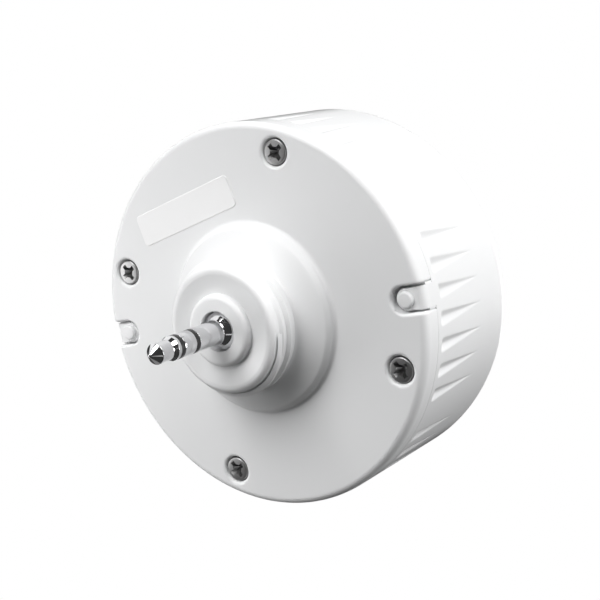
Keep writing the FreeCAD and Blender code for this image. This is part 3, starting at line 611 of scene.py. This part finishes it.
def make_housing():
    """Cup with grip grooves. Its heights are closer together along the grooves."""
    heights = [GROOVE_START + rise for rise in (0.6, 0.1, 0, -0.1, -0.2)]
    heights += steps_between(GROOVE_START - 0.6, GROOVE_START - GROOVE_LENGTH, 0.42)
    corners = [(BODY, HOUSING_TOP, 0.03)]
    corners += [(BODY, height) for height in heights]
    corners += [
        (BODY, FRONT, 2.75),
        (LENS_OPENING + 1.6, FRONT, 0.3),
        (LENS_OPENING, FRONT + 0.9, 0.3),
        (LENS_OPENING, FLOOR),
        (BORE, FLOOR, 0.5),
        (BORE, HOUSING_TOP),
    ]
    bm = spun(corners, ((60, 200),))
    for vert in bm.verts:
        x, y, z = vert.co / MM
        radius = math.hypot(x, y)
        if radius > BODY - 0.01:
            scale = 1 - groove_depth(math.degrees(math.atan2(y, x)), z) / radius
            vert.co.x *= scale
            vert.co.y *= scale
    return merged(bm, turned_copies(make_lug(), LUG_ANGLES))


def make_lug():
    """A locating lug with rounded top edges, and the round pin on it."""
    side_round, outer_round, rings, outer_from = 0.3, 1.15, 7, BODY - 0.85
    middle = LUG_INNER + LUG_HALF
    points = slot_points(LUG_INNER, LUG_HALF, BODY + 0.004, 32)
    bm, edges = plan_outline(points)
    bmesh.ops.translate(bm, verts=bm.verts, vec=(0, 0, (HOUSING_TOP - 1.5) * MM))
    loop = edges
    for ring in range(rings + 1):
        made = bmesh.ops.extrude_edge_only(bm, edges=loop)["geom"]
        loop = [item for item in made if isinstance(item, bmesh.types.BMEdge)]
        turn = math.pi / 2 * ring / rings
        before = math.pi / 2 * max(0, ring - 1) / rings
        for vert in (item for item in made if isinstance(item, bmesh.types.BMVert)):
            x, y = vert.co.x / MM, vert.co.y / MM
            outer = x > outer_from
            rounding = outer_round if outer else side_round
            inward = Vector((-1, 0)) if outer else Vector((0, -1 if y > 0 else 1))
            if x < middle:
                inward = Vector((middle - x, -y)).normalized()
            shift = inward * rounding * (math.cos(before) - math.cos(turn)) if ring else Vector((0, 0))
            vert.co.x += shift.x * MM
            vert.co.y += shift.y * MM
            vert.co.z = (LUG_TOP - rounding * (1 - math.sin(turn))) * MM
    bmesh.ops.contextual_create(bm, geom=loop)
    bmesh.ops.holes_fill(bm, edges=[edge for edge in bm.edges if edge.is_boundary], sides=0)
    bmesh.ops.recalc_face_normals(bm, faces=bm.faces)
    pin = spun([
        (0, LUG_TOP - 0.5),
        (1.35, LUG_TOP - 0.5),
        (1.25, LUG_TOP, 0.1),
        (1.12, FACE - 0.02, 0.3),
        (0, FACE - 0.02),
    ], ((360, 48),), closed=False)
    fit, plinth_top, level_at, slope = 0.03, -5.3, 25.5, 0.12
    plan = slot_points(NOTCH_INNER + fit, NOTCH_HALF - fit, BODY - 2 * fit, 32)
    plinth = prism(plan, HOUSING_TOP - 1, plinth_top)
    for vert in plinth.verts:
        if vert.co.z > HOUSING_TOP * MM:
            vert.co.z += (vert.co.x - level_at * MM) * slope
    return merged(bm, plinth, moved(pin, (middle, 0, 0)))


# Screws

def make_screws():
    """Four screws, each with a tapered cross recess that is deepest in the middle."""
    head, shank, head_height, length = 1.9, 1.1, 1.65, 8
    cross_span, cross_width, cross_height, cross_turn = 2.8, 0.74, 1.4, 52.5
    pit_radius, pit_tip, pit_depth, above = 0.85, 0.1, 1.9, 0.05
    top = SCREW_SEAT + head_height
    screw = spun([
        (0, SCREW_SEAT - length),
        (0.8, SCREW_SEAT - length),
        (shank, SCREW_SEAT - length + 1),
        (shank, SCREW_SEAT),
        (head, SCREW_SEAT, 0.1),
        (head, top - 0.03, 0.22),
        (0, top),
    ], ((360, 64),), closed=False)
    cutters = [spun([
        (0, top - pit_depth),
        (pit_tip, top - pit_depth),
        (pit_radius, top + above),
        (0, top + above),
    ], ((360, 32),), closed=False)]
    for angle in (0, 90):
        bar = bmesh.new()
        bmesh.ops.create_cube(bar, size=MM)
        for vert in bar.verts:
            taper = 1.0 if vert.co.z > 0 else 0.5
            vert.co.x *= cross_span * taper
            vert.co.y *= cross_width * taper
            vert.co.z *= cross_height
        cutters.append(moved(turned(bar, angle), (0, 0, top + above - cross_height / 2)))
    for cutter in cutters:
        screw = carve(screw, cutter)
    return turned_copies(moved(turned(screw, cross_turn), (SCREW_CIRCLE, 0, 0)), SCREW_ANGLES)


# Plug

def make_bushing():
    return spun([
        (2.1, CEILING),
        (4.0, CEILING),
        (4.0, DISH - 0.05),
        (5.7, DISH - 0.05),
        (5.7, DISH + 0.03),
        (5.37, DISH + 0.01, 0.12),
        (5.35, BUSHING_TOP, 0.8),
        (3.0, BUSHING_TOP, 0.1),
        (3.0, LEDGE, 0.05),
        (2.1, LEDGE),
    ], ((360, 144),))


def make_sleeve():
    bottom = lowest("plug_sleeve")
    return spun([
        (1.4, bottom),
        (2.0, bottom),
        (2.0, LEDGE),
        (2.75, LEDGE),
        (2.75, 5.3, 0.1),
        (PLUG, 6.35, 0.6),
        (PLUG, SLEEVE_END, 0.04),
        (1.4, SLEEVE_END),
    ])


def collared(node, inner, low, high, proud=0.0, rounding=0.04):
    """A tube with the collar that shows on the plug, as deep as its CAD node."""
    outer, bottom = inner + 0.27, lowest(node)
    return spun([
        (inner, bottom),
        (outer, bottom),
        (outer, low),
        (PLUG + proud, low, rounding),
        (PLUG + proud, high, rounding),
        (inner, high),
    ])


def make_tip():
    bottom = lowest("plug_tip")
    return spun([
        (0, bottom),
        (0.45, bottom),
        (0.45, TIP_START),
        (PLUG, TIP_START, 0.05),
        (PLUG, 16.25, 0.08),
        (1.43, 16.95, 0.3),
        (1.43, 18.45, 1.5),
        (1.5, 19.25, 0.08),
        (0.22, TIP_END, 0.2),
        (0, TIP_END),
    ], closed=False)


# Sticker and lens

def make_sticker():
    """A bare clear label with rounded corners and a bevelled edge."""
    corner, tilt, middle = 0.7, 11, (-9.015, 17.55)
    bm = bmesh.new()
    bmesh.ops.create_grid(bm, x_segments=1, y_segments=1, size=0.5 * MM)
    bmesh.ops.scale(bm, verts=bm.verts, vec=(STICKER_LENGTH, STICKER_WIDTH, 1.0))
    bmesh.ops.bevel(bm, geom=bm.verts, offset=corner * MM, offset_type="OFFSET", segments=8, profile=0.5,
                    affect="VERTICES", material=-1)
    grown = bmesh.ops.extrude_face_region(bm, geom=bm.faces[:])
    upper = [item for item in grown["geom"] if isinstance(item, bmesh.types.BMVert)]
    bmesh.ops.translate(bm, verts=upper, vec=(0, 0, (STICKER_TOP - FACE) * MM))
    narrowed = (1 - STICKER_BEVEL / STICKER_LENGTH, 1 - STICKER_BEVEL / STICKER_WIDTH, 1.0)
    bmesh.ops.scale(bm, verts=upper, vec=narrowed)
    bmesh.ops.recalc_face_normals(bm, faces=bm.faces)
    return moved(turned(bm, tilt), (*middle, FACE))


def make_lens():
    """A milky dome whose skin is divided into small lens fields by fine grooves."""
    dome, inside_until = 19.852, 58
    line_depth, line_half = 0.12, 0.45
    centre, inner_dome = LENS_FRONT + dome, dome - LENS_WALL
    skin, inside = [], []
    widest = math.degrees(math.asin(LENS_SIDE / dome))
    for angle in steps_between(0, widest, 1.0):
        turn = math.radians(angle)
        skin.append((dome * math.sin(turn), centre - dome * math.cos(turn)))
        if angle < inside_until:
            inside.append((inner_dome * math.sin(turn), centre - inner_dome * math.cos(turn)))
    flange = [
        (LENS_SIDE, FLOOR),
        (LENS_FLANGE, FLOOR),
        (LENS_FLANGE, LENS_BASE),
        (LENS_SIDE - LENS_WALL, LENS_BASE),
    ]
    bm = spun(skin + flange + inside[::-1], ((60, 60),), closed=False)
    tiers = ((9, 0), (20, 6), (32, 12), (45, 18), (57, 24))
    for vert in bm.verts:
        x, y, z = vert.co / MM
        radius = math.hypot(x, y)
        if abs(math.hypot(radius, z - centre) - dome) > 0.01:
            continue
        polar = math.degrees(math.atan2(radius, centre - z))
        around = math.degrees(math.atan2(y, x)) % 360
        edge = min(abs(polar - limit) for limit, _ in tiers)
        gap = edge * math.radians(1) * dome
        for (low, _), (high, count) in zip(tiers, tiers[1:]):
            if low <= polar < high:
                field = 360 / count
                offset = (around + field / 2) % field - field / 2
                gap = min(gap, abs(math.radians(offset)) * radius)
        depth = line_depth * max(0, 1 - gap / line_half)
        vert.co -= (vert.co - Vector((0, 0, centre * MM))).normalized() * depth * MM
    return bm


WHITE = MATERIALS["white_plastic"]
METAL = MATERIALS["plated_contact"]
BLACK = MATERIALS["black_insulator"]

piece("cover_shell", make_cover(), "rear_cover", WHITE)
piece("housing_shell", make_housing(), "front_housing", WHITE)
piece("recessed_screws", make_screws(), "cover_screws", MATERIALS["screw_steel"])
piece("bushing_ring", make_bushing(), "plug_bushing", WHITE)
piece("sleeve_contact", make_sleeve(), "plug_sleeve", METAL)
piece("sleeve_band", collared("sleeve_insulator", 1.08, SLEEVE_END, RING_START, 0.01), "sleeve_insulator",
      BLACK)
piece("ring_contact", collared("plug_ring", 0.78, RING_START, RING_END), "plug_ring",
      METAL)
piece("ring_band", collared("ring_insulator", 0.48, RING_END, TIP_START, 0.01), "ring_insulator",
      BLACK)
piece("tip_contact", make_tip(), "plug_tip", METAL)
piece("sticker_film", make_sticker(), "face_sticker", MATERIALS["clear_film"])
piece("lens_dome", make_lens(), "fresnel_lens", MATERIALS["lens_plastic"])


# Camera, light and floor

def make_camera():
    """A camera at the photo's viewing angle, solved from its outlines."""
    data = bpy.data.cameras.new("camera")
    data.lens, data.sensor_width = 72, 36
    data.clip_start, data.clip_end = 0.01, 20
    camera = bpy.data.objects.new("camera", data)
    bpy.context.scene.collection.objects.link(camera)
    camera.location = (0.11155, 0.02037, 0.13637)
    camera.rotation_euler = [math.radians(angle) for angle in (-14.228, 34.230, -14.036)]
    bpy.context.scene.camera = camera


def softbox(name, azimuth, elevation, distance, size, power, height=None):
    """A soft light that looks at a point inside the sensor."""
    data = bpy.data.lights.new(name, "AREA")
    data.shape = "RECTANGLE"
    data.size, data.size_y, data.energy = size, height or size, power
    light = bpy.data.objects.new(name, data)
    bpy.context.scene.collection.objects.link(light)
    turn, rise = math.radians(azimuth), math.radians(elevation)
    towards = Vector((math.cos(turn) * math.cos(rise), math.sin(turn) * math.cos(rise), math.sin(rise)))
    light.location = Vector((0, 0, -0.01)) + towards * distance
    light.rotation_euler = towards.to_track_quat("Z", "Y").to_euler()
    light.visible_camera = False
    return light


def reflection_card(*values, **more):
    """A card that lights nothing by itself and shows only in reflections."""
    softbox(*values, **more).visible_diffuse = False


def light_paths(tree, output, shader_kind, seen, mirrored, other):
    """One strength for what the camera sees, one for reflections and one for the rest of the light."""
    path = add_node(tree, "ShaderNodeLightPath")
    glow, reflected, direct = (
        add_node(tree, shader_kind, {"Color": grey(1.0), "Strength": level})
        for level in (other, mirrored, seen)
    )
    for_gloss = add_node(tree, "ShaderNodeMixShader")
    for_camera = add_node(tree, "ShaderNodeMixShader")
    link = tree.links.new
    link(path.outputs["Is Glossy Ray"], for_gloss.inputs[0])
    link(glow.outputs[0], for_gloss.inputs[1])
    link(reflected.outputs[0], for_gloss.inputs[2])
    link(path.outputs["Is Camera Ray"], for_camera.inputs[0])
    link(for_gloss.outputs[0], for_camera.inputs[1])
    link(direct.outputs[0], for_camera.inputs[2])
    link(for_camera.outputs[0], output.inputs["Surface"])


def make_surroundings():
    world = bpy.data.worlds.new("studio")
    bpy.context.scene.world = world
    world.use_nodes = True
    world.node_tree.nodes.clear()
    output = add_node(world.node_tree, "ShaderNodeOutputWorld")
    light_paths(world.node_tree, output, "ShaderNodeBackground", 1.0, 0.04, 0.06)

    bm = bmesh.new()
    bmesh.ops.create_grid(bm, x_segments=1, y_segments=1, size=4)
    bmesh.ops.translate(bm, verts=bm.verts, vec=(0, 0, -1.0))
    floor = as_object("floor", bm)
    material = bpy.data.materials.new("pale_floor")
    material.use_nodes = True
    tree = material.node_tree
    tree.nodes.clear()
    output = add_node(tree, "ShaderNodeOutputMaterial")
    light_paths(tree, output, "ShaderNodeEmission", 1.0, 0.06, 0.06)
    floor.data.materials.append(material)


make_camera()
softbox("key", 95, 43, 0.8, 0.5, 5.1)
softbox("right_low", 45, -5, 0.8, 0.45, 3.5)
softbox("front_low", -10, -20, 0.8, 0.4, 3.1)
softbox("right_high", 40, 12, 0.8, 0.4, 1.2)
softbox("near_left", 180, 30, 0.13, 0.08, 0.05)
softbox("left", 155, 45, 0.22, 0.12, 0.03)
softbox("far_left", 200, 8, 0.8, 0.35, 0.4)
softbox("under", 0, -88, 0.8, 0.5, 3.0)
reflection_card("upper_card", 125, -6, 0.8, 0.8, 2.0)
reflection_card("narrow_card", -34, 39, 0.8, 0.07, 0.06, height=0.35)
reflection_card("low_card", -125, -2, 0.8, 0.5, 0.16)
make_surroundings()
bpy.context.scene.view_settings.view_transform = "Standard"
